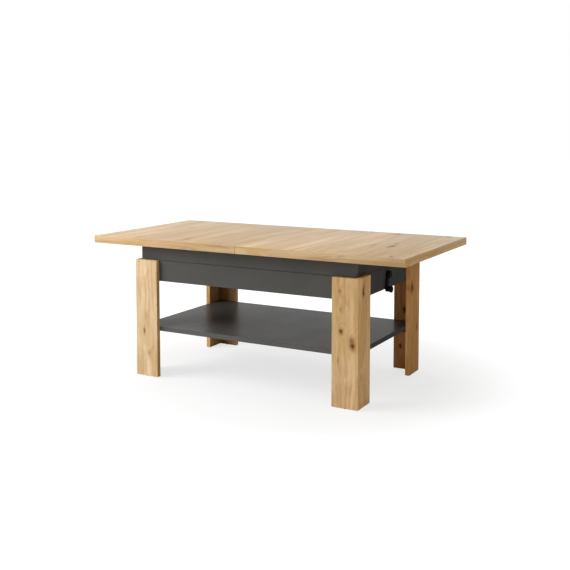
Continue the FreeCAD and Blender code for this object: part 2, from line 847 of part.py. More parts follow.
def make_outer_scissor():
    centre_hole = sizes.centre_pin_radius + sizes.centre_clearance
    make_arm_pair("outer", outer_arm_y, lift_rail_z, Y_AXIS, centre_hole)
    as_node("outer_cross_tube", cross_tube(outer_arm_y, sizes.tube_inset, lift_rail_z, -1))
    start_y = sizes.nut_width / 2 - sizes.trunnion_depth
    shaft_length = axle_end_y - start_y
    shaft_profile = ((0, 0), (shaft_length, 0), (shaft_length, sizes.pin_radius), (0, sizes.pin_radius))
    group("draw_shafts", front_and_back(lambda: turned(shaft_profile), roller_x, start_y, screw_z))
    make_rollers("lower_rollers", screw_z)


# Lifting screw, nut and crank

bush_radius = sizes.journal_radius + sizes.fit_clearance + sizes.bush_wall
hub_start = apron_x + sizes.bush_flange_length + sizes.crank_gap
hub_end = hub_start + sizes.hub_length
collar_end = base_rail_half - sizes.collar_play


def make_nut():
    """The block that the screw draws along, with a clear bore and two trunnion holes."""
    end_x = roller_x - sizes.nut_length / 2
    side_y = sizes.nut_width / 2
    block = board(sizes.nut_length, sizes.nut_width, sizes.nut_height)
    place(block, end_x, -side_y, screw_z - sizes.nut_height / 2)
    bore = rod(sizes.screw_radius + sizes.nut_clearance, sizes.nut_length)
    place(bore, end_x, 0, screw_z, Y_AXIS, 90)
    trunnion_holes = []
    for start_y in (-side_y, side_y - sizes.trunnion_depth):
        hole = rod(sizes.pin_radius + sizes.fit_clearance, sizes.trunnion_depth)
        trunnion_holes.append(place(hole, roller_x, start_y, screw_z, X_AXIS, -90))
    holes = doc.addObject("Part::MultiFuse", "Holes")
    holes.Shapes = [bore] + trunnion_holes
    nut = doc.addObject("Part::Cut", "Nut")
    nut.Base = block
    nut.Tool = holes
    as_node("draw_nut", nut)


def make_screw():
    raised = arm_rise + sizes.lift_travel
    nut_travel = arm_run - square_root(arm_length * arm_length - raised * raised)
    start = roller_x - nut_travel - sizes.nut_length / 2 - sizes.screw_tail
    thread_end = collar_end - sizes.collar_length - start
    collar = collar_end - start
    end = hub_end - start
    journal = sizes.journal_radius
    screw = turned((
        (0, 0), (end, 0), (end, journal), (collar, journal), (collar, sizes.collar_radius),
        (thread_end, sizes.collar_radius), (thread_end, sizes.screw_radius),
        (sizes.screw_chamfer, sizes.screw_radius), (0, sizes.screw_radius - sizes.screw_chamfer),
    ))
    as_node("lift_screw", place(screw, start, 0, screw_z))

    bore = sizes.journal_radius + sizes.fit_clearance
    flange_end = sizes.apron_thickness + sizes.bush_flange_length
    flange_radius = bush_radius + sizes.bush_flange
    bush = turned((
        (0, bore), (flange_end, bore), (flange_end, flange_radius), (sizes.apron_thickness, flange_radius),
        (sizes.apron_thickness, bush_radius), (0, bush_radius),
    ))
    as_node("crank_bush", place(bush, apron_inner_x, 0, screw_z))


def make_crank():
    """Hub, lever and knob pin in one piece, drawn hanging straight down and then turned to the front."""
    bore = sizes.journal_radius + sizes.fit_clearance
    reach = square_root(sizes.crank_drop * sizes.crank_drop + sizes.crank_swing * sizes.crank_swing)
    hub = ring(bore, sizes.hub_radius, sizes.hub_length)

    lever = doc.addObject("PartDesign::Body", "Body")
    sketch = new_sketch(lever, "XY_Plane")
    draw_bar(sketch, reach, sizes.crank_width / 2)
    draw_circle(sketch, (0, 0), bore)
    pad(lever, sketch, sizes.crank_thickness)
    place(lever, 0, 0, 0, Y_AXIS, 90)

    head_start = sizes.crank_thickness + 2 * sizes.knob_gap + sizes.knob_length
    head_end = head_start + sizes.knob_pin_head
    head_radius = sizes.knob_pin_radius + sizes.knob_pin_head
    pin = turned((
        (0, 0), (head_end, 0), (head_end, head_radius), (head_start, head_radius),
        (head_start, sizes.knob_pin_radius), (0, sizes.knob_pin_radius),
    ))
    place(pin, 0, 0, -reach)
    crank = doc.addObject("Part::MultiFuse", "Crank")
    crank.Shapes = [hub, lever, pin]
    place(crank, hub_start, 0, screw_z, -X_AXIS, slope_angle(sizes.crank_swing, sizes.crank_drop))
    as_node("crank_arm", crank)

    knob_bore = sizes.knob_pin_radius + sizes.fit_clearance
    length = sizes.knob_length
    taper = sizes.knob_taper
    knob = turned((
        (0, knob_bore), (length, knob_bore), (length, sizes.knob_radius - taper),
        (length - taper, sizes.knob_radius), (0, sizes.knob_neck_radius),
    ))
    knob_start = hub_start + sizes.crank_thickness + sizes.knob_gap
    as_node("crank_knob", place(knob, knob_start, -sizes.crank_swing, screw_z - sizes.crank_drop))


make_legs()
make_glides()
make_dowels()
make_apron()
make_shelf()
make_base_lift()
make_frame()
make_leaf()
make_top()
make_inner_scissor()
make_outer_scissor()
make_nut()
make_screw()
make_crank()
doc.recompute()

failed = [item.Label for item in doc.Objects if {"Invalid", "Error"} & set(item.State)]
if failed:
    raise RuntimeError(f"these did not build: {failed}")
for name, piece in nodes.items():
    if piece.Shape.isNull() or not piece.Shape.isValid() or not piece.Shape.Solids:
        raise RuntimeError(f"{name} has no sound solid")

os.makedirs("parts", exist_ok=True)
for name, piece in nodes.items():
    piece.Shape.exportStep(f"parts/{name}.step")
print(f"{len(nodes)} sub-parts, arm length {arm_length.value:.3f}, arm angle {arm_angle.value:.4f} degrees")
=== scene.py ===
import bmesh
import bpy
import json
import math
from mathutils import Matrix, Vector


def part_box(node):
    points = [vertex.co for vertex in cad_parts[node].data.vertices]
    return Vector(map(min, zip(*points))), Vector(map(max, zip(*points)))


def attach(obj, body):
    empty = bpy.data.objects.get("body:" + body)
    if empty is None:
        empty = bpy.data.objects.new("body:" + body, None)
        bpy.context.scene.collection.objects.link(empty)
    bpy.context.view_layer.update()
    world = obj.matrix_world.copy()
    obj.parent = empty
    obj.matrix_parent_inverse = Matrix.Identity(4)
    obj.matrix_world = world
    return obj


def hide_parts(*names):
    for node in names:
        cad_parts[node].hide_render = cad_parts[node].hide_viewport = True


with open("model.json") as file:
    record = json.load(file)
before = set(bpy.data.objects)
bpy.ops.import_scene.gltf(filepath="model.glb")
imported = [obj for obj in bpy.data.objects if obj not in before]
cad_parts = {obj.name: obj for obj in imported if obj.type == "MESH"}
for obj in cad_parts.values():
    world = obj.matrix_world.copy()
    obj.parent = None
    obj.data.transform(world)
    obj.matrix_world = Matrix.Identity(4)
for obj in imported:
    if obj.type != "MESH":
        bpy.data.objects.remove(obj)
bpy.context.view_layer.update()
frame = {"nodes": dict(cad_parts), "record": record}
record = frame["record"]
slotOf = {part["node"]: part["material_slot"] for part in record["subparts"]}
bodyOf = {node: body for body, nodes in record["behaviour"]["bodies"].items() for node in nodes}
print("frame loaded:", len(frame["nodes"]), "nodes")


# small tools for modelling by hand

modelling = {
    "seed": 0.001,  # plane that becomes an outline's first point
    "merge": 0.000002,  # points nearer than this become one
    "near": 0.00001,  # how exactly points are picked
    "sides": 48,
    "smooth": 35,  # degrees
}


def middleOf(node):
    low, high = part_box(node)
    return (low + high) / 2


def deselectAll():
    bpy.ops.object.select_all(action="DESELECT")


def makeActive(piece):
    deselectAll()
    piece.select_set(True)
    bpy.context.view_layer.objects.active = piece


def startEditing(piece, kind="EDGE"):
    makeActive(piece)
    bpy.ops.object.mode_set(mode="EDIT")
    bpy.ops.mesh.select_mode(type=kind)
    bpy.ops.mesh.select_all(action="DESELECT")


def stopEditing():
    bpy.ops.object.mode_set(mode="OBJECT")


def pick(piece, kind, wanted):
    mesh = bmesh.from_edit_mesh(piece.data)
    for item in getattr(mesh, kind):
        item.select_set(wanted(item))
    bmesh.update_edit_mesh(piece.data)


def applyPlace():
    bpy.ops.object.transform_apply(location=True, rotation=True, scale=True)


def nameNew(name):
    piece = bpy.context.object
    piece.name = name
    piece.data.name = name
    applyPlace()
    return piece


def camelName(node):
    first, *others = node.split("_")
    return first + "".join(word.capitalize() for word in others)


def newBox(name, low, high):
    deselectAll()
    bpy.ops.mesh.primitive_cube_add(size=1, location=(low + high) / 2, scale=high - low)
    return nameNew(name)


def newRod(name, start, end, radius):
    deselectAll()
    along = Vector(end) - Vector(start)
    bpy.ops.mesh.primitive_cylinder_add(
        vertices=modelling["sides"], radius=radius, depth=along.length,
        location=(Vector(start) + Vector(end)) / 2, rotation=along.to_track_quat("Z", "Y").to_euler(),
    )
    return nameNew(name)


def mergeDoubles():
    bpy.ops.mesh.select_all(action="SELECT")
    bpy.ops.mesh.remove_doubles(threshold=modelling["merge"])


def closeShell():
    mergeDoubles()
    bpy.ops.mesh.normals_make_consistent(inside=False)


def newOutline(name, outline):
    deselectAll()
    bpy.ops.mesh.primitive_plane_add(size=modelling["seed"], location=(outline[0][0], 0, outline[0][1]))
    piece = nameNew(name)
    startEditing(piece, "VERT")
    bpy.ops.mesh.select_all(action="SELECT")
    bpy.ops.mesh.merge(type="CENTER")
    for (lastAlong, lastRadius), (along, radius) in zip(outline, outline[1:]):
        step = {"value": (along - lastAlong, 0, radius - lastRadius)}
        bpy.ops.mesh.extrude_vertices_move(TRANSFORM_OT_translate=step)
    mergeDoubles()
    return piece


def putAt(piece, place, turn=(0, 0, 0)):
    makeActive(piece)
    piece.rotation_euler = turn
    piece.location = place
    applyPlace()
    return piece


def newTurned(name, outline, place, axis="X", sides=modelling["sides"]):
    piece = newOutline(name, outline)
    bpy.ops.mesh.select_all(action="SELECT")
    bpy.ops.mesh.spin(steps=sides, angle=2 * math.pi, center=(0, 0, 0), axis=(1, 0, 0))
    closeShell()
    stopEditing()
    turns = {"X": (0, 0, 0), "Y": (0, 0, math.pi / 2), "Z": (0, -math.pi / 2, 0)}
    return putAt(piece, place, turns[axis])


def applyModifier(piece, modifier):
    makeActive(piece)
    bpy.ops.object.modifier_apply(modifier=modifier.name)


def copyTo(piece, moves):
    twins = []
    for move in moves:
        twin = piece.copy()
        twin.data = piece.data.copy()
        bpy.context.collection.objects.link(twin)
        twins.append(putAt(twin, move))
    return twins


def cutOut(piece, cutter):
    hole = piece.modifiers.new("hole", "BOOLEAN")
    hole.operation = "DIFFERENCE"
    hole.object = cutter
    applyModifier(piece, hole)
    bpy.data.objects.remove(cutter, do_unlink=True)


def easeEdges(piece, width, segments, wanted=None):
    startEditing(piece)
    if wanted:
        pick(piece, "edges", wanted)
    else:
        bpy.ops.mesh.select_all(action="SELECT")
    bpy.ops.mesh.bevel(offset=width, segments=segments, affect="EDGES")
    stopEditing()


def cutAway(piece, point, normal):
    startEditing(piece)
    bpy.ops.mesh.select_all(action="SELECT")
    bpy.ops.mesh.bisect(plane_co=point, plane_no=normal, use_fill=True, clear_outer=True)
    stopEditing()


def joinPieces(main, *others):
    makeActive(main)
    for piece in others:
        piece.select_set(True)
    bpy.ops.object.join()
    return main


def settle(piece, node, smooth=modelling["smooth"]):
    # the piece stands for its node, so it takes the node's body, and the node is hidden
    makeActive(piece)
    bpy.ops.object.shade_smooth_by_angle(angle=math.radians(smooth))
    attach(piece, bodyOf[node])
    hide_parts(node)


# small tools for materials

def newMaterial(name, specular=None):
    material = bpy.data.materials.new(name)
    material.use_nodes = True
    shader = material.node_tree.nodes["Principled BSDF"]
    if specular is not None:
        shader.inputs["Specular IOR Level"].default_value = specular
    return material, material.node_tree, shader


def addNode(tree, kind, inputs=None, **settings):
    node = tree.nodes.new("ShaderNode" + kind)
    for name, value in settings.items():
        setattr(node, name, value)
    for name, value in (inputs or {}).items():
        if isinstance(value, bpy.types.NodeSocket):
            tree.links.new(value, node.inputs[name])
        else:
            node.inputs[name].default_value = value
    return node


def objectPlace(tree):
    return addNode(tree, "TexCoord").outputs["Object"]


def stretched(tree, vector, factors):
    return addNode(tree, "VectorMath", {0: vector, 1: factors}, operation="MULTIPLY").outputs[0]


def noiseOf(tree, vector, scale=1.0, detail=2.0, roughness=0.5, distortion=0.0):
    inputs = {
        "Vector": vector, "Scale": scale, "Detail": detail,
        "Roughness": roughness, "Distortion": distortion,
    }
    return addNode(tree, "TexNoise", inputs).outputs["Fac"]


def mathOf(tree, operation, first, second=0.0):
    return addNode(tree, "Math", {0: first, 1: second}, operation=operation).outputs[0]


def remap(tree, value, low, high, newLow=0.0, newHigh=1.0):
    inputs = {"Value": value, "From Min": low, "From Max": high, "To Min": newLow, "To Max": newHigh}
    return addNode(tree, "MapRange", inputs, interpolation_type="SMOOTHSTEP").outputs["Result"]


def blendColours(tree, factor, first, second, how="MIX"):
    inputs = {"Fac": factor, "Color1": first, "Color2": second}
    return addNode(tree, "MixRGB", inputs, blend_type=how).outputs["Color"]


def toned(tree, colour, tone):
    return blendColours(tree, 1.0, colour, (*tone, 1), "MULTIPLY") if tone else colour


def timesColour(colour, factor):
    return tuple(factor * part for part in colour[:3]) + (1,)


def roughen(tree, value, base, limits):
    low, high, less, more = limits
    return remap(tree, value, low, high, base + less, base + more)


def wireShader(tree, shader, colour, rough):
    tree.links.new(colour, shader.inputs["Base Color"])
    tree.links.new(rough, shader.inputs["Roughness"])


def bumpInto(tree, shader, height, strength, depth):
    bump = addNode(tree, "Bump", {"Height": height, "Strength": strength, "Distance": depth})
    tree.links.new(bump.outputs["Normal"], shader.inputs["Normal"])


# oak veneer: soft bands and arched rings along the grain, fine fibres, short dark pores, knots

oak = {
    "pale": (0.665, 0.435, 0.200, 1),
    "warm": (0.545, 0.320, 0.122, 1),
    "streak": (0.420, 0.225, 0.078, 1),
    "rose": (0.590, 0.365, 0.178, 1),
    "pore": (0.270, 0.145, 0.060, 1),
    "cream": (0.760, 0.515, 0.270, 1),
    "olive": (0.490, 0.310, 0.118, 1),
    "knotRim": (0.285, 0.120, 0.042, 1),
    "knotCore": (0.085, 0.029, 0.006, 1),
    "grainTurns": {"X": (0, -90, 0), "Y": (90, 0, 0), "Z": (0, 0, 0)},
    "plain": {  # what a board may change
        "bandWidth": 0.02,
        "figure": 1.0,  # strength of rings and streaks
        "drift": 0.3,  # strength of cream and olive patches
        "run": 1.0,  # less makes longer patches
        "wave": 1.0,
        "plankWidth": None,
        "gloss": 0.46,
        "specular": 0.03,
    },
    "noises": {  # cycles per metre across and along the grain; broad takes its width from the bands
        "broad": {"along": 1.6, "scale": 0.6, "detail": 3.0, "roughness": 0.55, "wave": 0.35},
        "middle": {"across": 85, "along": 4.0, "detail": 4.0, "roughness": 0.62, "wave": 0.35},
        "blush": {"across": 34, "along": 5.0, "detail": 3.0, "roughness": 0.6, "wave": 0.3},
        "cloud": {"across": 22, "along": 9.0, "detail": 3.0, "roughness": 0.6, "wave": 0.4},
        "slow": {"across": 13, "along": 4.5, "detail": 2.0, "roughness": 0.5, "wave": 0.5},
        "wobble": {"across": 9, "along": 2.2, "detail": 2.0, "roughness": 0.5},
        "fibres": {"across": 900, "along": 14, "detail": 3.0, "roughness": 0.7},
        "dashes": {"across": 650, "along": 38, "detail": 2.0, "roughness": 0.5},
    },
    "tints": {  # noise values between which the colour turns, its share at both, the colour
        "broad": (0.38, 0.62, 0.0, 1.0, "warm"),
        "cream": (0.50, 0.66, 0.0, 1.0, "cream"),
        "olive": (0.34, 0.50, 1.0, 0.0, "olive"),
        "palePlank": (0.45, 1.0, 0.0, 0.42, "cream"),
        "warmPlank": (0.0, 0.45, 0.34, 0.0, "warm"),
        "cloud": (0.48, 0.70, 0.0, 0.45, "warm"),
        "blush": (0.5, 0.72, 0.0, 0.7, "rose"),
        "middle": (0.52, 0.74, 0.0, 0.50, "streak"),
        "fibres": (0.3, 0.7, 0.0, 0.16, "streak"),
    },
    "rings": {
        "bend": 0.09, "knotBend": 0.03, "spacing": 0.55, "power": 2.0,
        "share": (0.36, 0.64, 0.04, 0.34),
    },
    "plankJump": (0.6, 0.6, 5.0),
    "poreRange": (0.66, 0.74),
    "poreShare": 0.55,
    "fibreRough": (0.3, 0.7, -0.05, 0.07),
    "fibreHeight": 0.35,
    "bump": (0.22, 0.0005),
}
knotLook = {
    "ragNoise": (1.3, 3.0, 0.65),
    "rag": 1.1,
    "core": {"from": 0.10, "to": 0.75, "share": 0.88},
    "rim": {"from": 0.35, "to": 1.50, "share": 0.85},
    "swirl": {"from": 0.6, "to": 3.4, "warmth": 0.35},
}


def addKnot(tree, position, centre, size, strength=1.0, halo=1.0):
    core, rim, swirl = knotLook["core"], knotLook["rim"], knotLook["swirl"]
    offset = addNode(tree, "VectorMath", {0: position, 1: centre}, operation="SUBTRACT").outputs[0]
    share = stretched(tree, offset, tuple(1 / radius for radius in size))
    distance = addNode(tree, "VectorMath", {0: share}, operation="LENGTH").outputs["Value"]
    ragged = mathOf(tree, "MULTIPLY", noiseOf(tree, share, *knotLook["ragNoise"]), knotLook["rag"])
    distance = mathOf(tree, "ADD", distance, mathOf(tree, "SUBTRACT", ragged, knotLook["rag"] / 2))
    return (
        remap(tree, distance, core["from"], core["to"], core["share"] * strength, 0.0),
        remap(tree, distance, rim["from"], rim["to"], rim["share"] * strength * halo, 0.0),
        remap(tree, distance, swirl["from"], swirl["to"], min(1.0, strength), 0.0),
    )


def layPlanks(tree, along, width):
    across = addNode(tree, "SeparateXYZ", {0: along}).outputs["X"]
    number = mathOf(tree, "FLOOR", mathOf(tree, "DIVIDE", across, width))
    chance = addNode(tree, "TexWhiteNoise", {"W": number}, noise_dimensions="1D")
    jump = stretched(tree, chance.outputs["Color"], oak["plankJump"])
    shifted = addNode(tree, "VectorMath", {0: along, 1: jump}, operation="ADD").outputs[0]
    return shifted, chance.outputs["Value"]


def grainNoise(tree, along, name, run=1.0, wave=1.0, bandWidth=None):
    noise = oak["noises"][name]
    across = 1 / bandWidth if bandWidth else noise["across"]
    drawn = stretched(tree, along, (across, across, noise["along"] * run))
    return noiseOf(tree, drawn, noise.get("scale", 1.0), noise["detail"], noise["roughness"],
                   noise.get("wave", 0.0) * wave)


def bendRings(tree, along, swirls, bandWidth, wave):
    # bands bent by a slow wobble, and round the knots
    rings = oak["rings"]
    bend = mathOf(tree, "MULTIPLY", grainNoise(tree, along, "wobble"), rings["bend"] * wave)
    if swirls:
        swirl = swirls[0]
        for other in swirls[1:]:
            swirl = mathOf(tree, "MAXIMUM", swirl, other)
        bend = mathOf(tree, "ADD", bend, mathOf(tree, "MULTIPLY", swirl, rings["knotBend"]))
    across = addNode(tree, "SeparateXYZ", {0: along})
    lane = mathOf(tree, "ADD", mathOf(tree, "ADD", across.outputs["X"], across.outputs["Y"]), bend)
    lane = mathOf(tree, "MULTIPLY", lane, 2 * math.pi / (rings["spacing"] * bandWidth))
    return mathOf(tree, "POWER", remap(tree, mathOf(tree, "SINE", lane), -1.0, 1.0), rings["power"])


def tint(tree, colour, value, name, share=1.0):
    low, high, start, end, newColour = oak["tints"][name]
    factor = remap(tree, value, low, high, start * share, end * share)
    return blendColours(tree, factor, colour, oak[newColour])


def makeOak(name, grain, place, tone, knots=(), **changes):
    kind = {**oak["plain"], **changes}
    figure, drift, run, wave = (kind[word] for word in ("figure", "drift", "run", "wave"))
    material, tree, shader = newMaterial(name, kind["specular"])
    position = objectPlace(tree)
    turn = tuple(math.radians(angle) for angle in oak["grainTurns"][grain])
    along = addNode(tree, "Mapping", {"Vector": position, "Rotation": turn, "Location": place}).outputs[0]
    plank = None
    if kind["plankWidth"]:
        along, plank = layPlanks(tree, along, kind["plankWidth"])

    knotParts = [addKnot(tree, position, *knot) for knot in knots]
    rings = bendRings(tree, along, [swirl for core, rim, swirl in knotParts], kind["bandWidth"], wave)
    broad = grainNoise(tree, along, "broad", 1.0, wave, kind["bandWidth"])
    middle = grainNoise(tree, along, "middle", 1.0, wave)
    blush, cloud, slow = (grainNoise(tree, along, noise, run, wave) for noise in ("blush", "cloud", "slow"))
    fibres = grainNoise(tree, along, "fibres")
    pores = remap(tree, grainNoise(tree, along, "dashes"), *oak["poreRange"])

    colour = tint(tree, oak["pale"], broad, "broad")
    colour = tint(tree, colour, slow, "cream", drift)
    colour = tint(tree, colour, slow, "olive", drift)
    if plank is not None:
        colour = tint(tree, colour, plank, "palePlank")
        colour = tint(tree, colour, plank, "warmPlank")
    colour = tint(tree, colour, cloud, "cloud", figure)
    colour = tint(tree, colour, blush, "blush", figure)
    low, high, least, most = oak["rings"]["share"]
    ringShare = mathOf(tree, "MULTIPLY", rings, remap(tree, cloud, low, high, least, most * figure))
    colour = blendColours(tree, ringShare, colour, oak["streak"])
    colour = tint(tree, colour, middle, "middle", figure)
    colour = tint(tree, colour, fibres, "fibres")
    colour = blendColours(tree, mathOf(tree, "MULTIPLY", pores, oak["poreShare"]), colour, oak["pore"])
    for core, rim, swirl in knotParts:
        warmth = mathOf(tree, "MULTIPLY", swirl, knotLook["swirl"]["warmth"])
        colour = blendColours(tree, warmth, colour, oak["warm"])
        colour = blendColours(tree, rim, colour, oak["knotRim"])
        colour = blendColours(tree, core, colour, oak["knotCore"])

    rough = roughen(tree, fibres, kind["gloss"], oak["fibreRough"])
    wireShader(tree, shader, toned(tree, colour, tone), rough)
    height = mathOf(tree, "SUBTRACT", mathOf(tree, "MULTIPLY", fibres, oak["fibreHeight"]), pores)
    bumpInto(tree, shader, height, *oak["bump"])
    return material


# dark grey board with a fine pearl texture; the end boards shine less, the shelf more, and the shelf's
# front edge carries painted light

greyBoard = {
    "light": (0.089, 0.086, 0.080, 1),
    "deep": (0.080, 0.078, 0.074, 1),
    "cloud": {"scale": 9.0, "detail": 3.0, "roughness": 0.55},
    "cloudTint": (0.3, 0.7),
    "speck": {"scale": 1400.0, "detail": 2.0, "roughness": 0.6},
    "speckTint": (0.45, 0.75, 0.0, 0.35),
    "roughness": 0.34,
    "cloudRough": (0.25, 0.75, -0.01, 0.02),
    "bump": (0.10, 0.0002),
    "specular": 0.025,
    "endSpecular": 0.0,
    "shelfSpecular": 0.058,
    # painted light: the shelf's front edge made lighter, as if lit more than the apron above it
    "edgeTone": (1.26, 1.27, 1.29),
}


def makeGreyBoard(name, specular, tone=None):
    material, tree, shader = newMaterial(name, specular)
    position = objectPlace(tree)
    light, deep = greyBoard["light"], greyBoard["deep"]
    cloud = noiseOf(tree, position, **greyBoard["cloud"])
    speck = noiseOf(tree, position, **greyBoard["speck"])
    colour = blendColours(tree, remap(tree, cloud, *greyBoard["cloudTint"]), light, deep)
    colour = blendColours(tree, remap(tree, speck, *greyBoard["speckTint"]), colour, deep)
    rough = roughen(tree, cloud, greyBoard["roughness"], greyBoard["cloudRough"])
    wireShader(tree, shader, toned(tree, colour, tone), rough)
    bumpInto(tree, shader, speck, *greyBoard["bump"])
    return material


# metals, black paint and plastic, and plain beech for the working parts

metal = {
    "dark": 0.72,
    "spangleShare": 0.35,
    "spangleRough": 0.06,
    "drawnNoise": (1.0, 3.0, 0.6),
    "drawnTint": (0.45, 0.8, 0.0, 0.5),
    "drawnRough": (0.3, 0.7, -0.06, 0.08),
    "bump": (0.08, 0.0002),
    "zincSteel": {
        "colour": (0.62, 0.62, 0.60, 1), "roughness": 0.34, "grain": (90, 90, 90), "spangle": 160.0,
    },
    "drawnAluminium": {
        "colour": (0.72, 0.72, 0.73, 1), "roughness": 0.30, "grain": (6, 900, 900), "spangle": 40.0,
    },
}
black = {
    "specular": 0.004,
    "grainNoise": (2.0, 0.6),
    "grainRough": (0.3, 0.7, -0.07, 0.07),
    "bump": (0.25, 0.0002),
    "wearNoise": (60.0, 3.0, 0.6),
    "wearTint": (0.5, 0.8, 0.0, 0.6),
    "wearPaler": 2.2,
    "blackPaint": {"colour": (0.014, 0.014, 0.015, 1), "roughness": 0.42, "grain": 900.0},
    "blackPlastic": {"colour": (0.016, 0.016, 0.017, 1), "roughness": 0.50, "grain": 2200.0},
}
beech = {
    "light": (0.60, 0.42, 0.25, 1),
    "deep": (0.50, 0.32, 0.17, 1),
    "fleck": (0.36, 0.21, 0.11, 1),
    "bandStretch": (60, 4, 60),
    "bandNoise": (1.0, 3.0, 0.6),
    "bandTint": (0.3, 0.7),
    "fleckStretch": (700, 90, 700),
    "fleckNoise": (1.0, 1.0, 0.5),
    "fleckTint": (0.62, 0.72, 0.0, 0.6),
    "roughness": 0.55,
    "bandRough": (0.3, 0.7, 0.0, 0.13),
    "bump": (0.2, 0.0003),
}


def makeMetal(name):
    kind = metal[name]
    material, tree, shader = newMaterial(name)
    shader.inputs["Metallic"].default_value = 1.0
    position = objectPlace(tree)
    drawn = noiseOf(tree, stretched(tree, position, kind["grain"]), *metal["drawnNoise"])
    patches = addNode(tree, "TexVoronoi", {"Vector": position, "Scale": kind["spangle"]}).outputs["Color"]
    spangle = addNode(tree, "RGBToBW", {0: patches}).outputs[0]
    dark = timesColour(kind["colour"], metal["dark"])
    share = mathOf(tree, "MULTIPLY", spangle, metal["spangleShare"])
    colour = blendColours(tree, share, kind["colour"], dark)
    colour = blendColours(tree, remap(tree, drawn, *metal["drawnTint"]), colour, dark)
    rough = mathOf(tree, "ADD", roughen(tree, drawn, kind["roughness"], metal["drawnRough"]),
                   mathOf(tree, "MULTIPLY", spangle, metal["spangleRough"]))
    wireShader(tree, shader, colour, rough)
    bumpInto(tree, shader, drawn, *metal["bump"])
    return material


def makeBlack(name):
    kind = black[name]
    material, tree, shader = newMaterial(name, black["specular"])
    position = objectPlace(tree)
    grain = noiseOf(tree, position, kind["grain"], *black["grainNoise"])
    wear = noiseOf(tree, position, *black["wearNoise"])
    paler = timesColour(kind["colour"], black["wearPaler"])
    colour = blendColours(tree, remap(tree, wear, *black["wearTint"]), kind["colour"], paler)
    wireShader(tree, shader, colour, roughen(tree, grain, kind["roughness"], black["grainRough"]))
    bumpInto(tree, shader, grain, *black["bump"])
    return material


def makeBeech():
    material, tree, shader = newMaterial("beech")
    position = objectPlace(tree)
    band = noiseOf(tree, stretched(tree, position, beech["bandStretch"]), *beech["bandNoise"])
    fleck = noiseOf(tree, stretched(tree, position, beech["fleckStretch"]), *beech["fleckNoise"])
    colour = blendColours(tree, remap(tree, band, *beech["bandTint"]), beech["light"], beech["deep"])
    colour = blendColours(tree, remap(tree, fleck, *beech["fleckTint"]), colour, beech["fleck"])
    wireShader(tree, shader, colour, roughen(tree, band, beech["roughness"], beech["bandRough"]))
    bumpInto(tree, shader, fleck, *beech["bump"])
    return material


leaf = {
    "place": (0.9, 0.4, 0.2),
    "tone": (0.93, 1.01, 1.17),
    "grain": {"run": 0.3, "plankWidth": 0.108, "wave": 0.35},
}
greyFinish = makeGreyBoard("greyBoard", greyBoard["specular"])
greyEndFinish = makeGreyBoard("greyEndBoard", greyBoard["endSpecular"])
greyShelfFinish = makeGreyBoard("greyShelf", greyBoard["shelfSpecular"])
# the shelf's front edge is the grey board with painted light on it
greyEdgePaintedLight = makeGreyBoard("greyShelfEdge", greyBoard["specular"], greyBoard["edgeTone"])
oakPlain = makeOak("oakLeaf", "Y", leaf["place"], leaf["tone"], **leaf["grain"])
slotFinishes = {
    "oak_top": oakPlain,
    "oak_leg": oakPlain,
    "grey_board": greyFinish,
    "beech": makeBeech(),
    "zinc_steel": makeMetal("zincSteel"),
    "aluminium_rail": makeMetal("drawnAluminium"),
    "black_paint": makeBlack("blackPaint"),
    "black_plastic": makeBlack("blackPlastic"),
}
for node, slotName in slotOf.items():
    mesh = frame["nodes"][node].data
    mesh.materials.clear()
    mesh.materials.append(slotFinishes[slotName])
print("materials made")


# boards with eased edges; of three finishes, the second is on the ends and the third on the long sides

boards = {"flat": 0.95, "smooth": 20}


def makeBoard(name, node, ease, finishes):
    piece = newBox(name, *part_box(node))
    easeEdges(piece, **ease)
    for finish in finishes:
        piece.data.materials.append(finish)
    if len(finishes) > 1:
        for face in piece.data.polygons:
            end, front, flat = (abs(part) for part in face.normal)
            if flat <= boards["flat"]:
                face.material_index = 1 if end > front else 2
    settle(piece, node, boards["smooth"])
    return piece


tableTop = {
    "ease": {"width": 0.0013, "segments": 3},
    "faceGrain": {
        "bandWidth": 0.045, "figure": 1.6, "drift": 0.75, "run": 0.3, "wave": 0.35, "plankWidth": 0.108,
        "gloss": 0.38, "specular": 0.30,
    },
    "edgeGrain": {"bandWidth": 0.012, "figure": 1.5},
    "places": {
        "left": {"face": (0.0, 0.0, 0.0), "end": (1.3, 0.5, 0.0), "long": (2.2, 0.3, 0.0)},
        "right": {"face": (3.1, 0.0, 1.7), "end": (4.4, 0.5, 0.0), "long": (5.3, 0.3, 0.0)},
    },
    "leftTone": (0.91, 1.00, 1.19),
    "rightTone": (0.95, 1.02, 1.14),
    # painted light: the end edges of the top made lighter than the light on them gives
    "endTone": (1.28, 1.33, 1.43),
    "longTone": (0.98, 1.09, 1.36),
    # knots: middle, reach along each axis, strength, share of the rim
    "leftKnots": [
        ((-0.263, -0.243, 0.540), (0.009, 0.055, 0.05), 0.7),
        ((-0.340, -0.205, 0.540), (0.006, 0.070, 0.05), 0.4),
        ((-0.470, -0.262, 0.540), (0.009, 0.034, 0.05), 0.5),
        ((-0.47, 0.08, 0.540), (0.007, 0.024, 0.05), 0.6),
    ],
    "rightKnots": [
        ((0.494, -0.055, 0.540), (0.014, 0.040, 0.05)),
        ((0.484, 0.016, 0.540), (0.010, 0.017, 0.05)),
        ((0.384, 0.285, 0.540), (0.013, 0.024, 0.05)),
        ((0.584, -0.284, 0.540), (0.006, 0.014, 0.05)),
        ((0.585, 0.300, 0.540), (0.015, 0.020, 0.05), 0.9),
        ((0.425, -0.060, 0.540), (0.009, 0.036, 0.05), 0.5),
    ],
}
for side, places in tableTop["places"].items():
    name = side + "Top"
    edgeGrain = tableTop["edgeGrain"]
    finishes = (
        makeOak(name + "Oak", "Y", places["face"], tableTop[side + "Tone"], tableTop[side + "Knots"],
                **tableTop["faceGrain"]),
        makeOak(name + "EndOak", "Y", places["end"], tableTop["endTone"], **edgeGrain),
        makeOak(name + "LongOak", "X", places["long"], tableTop["longTone"], **edgeGrain),
    )
    makeBoard(name, side + "_top_panel", tableTop["ease"], finishes)
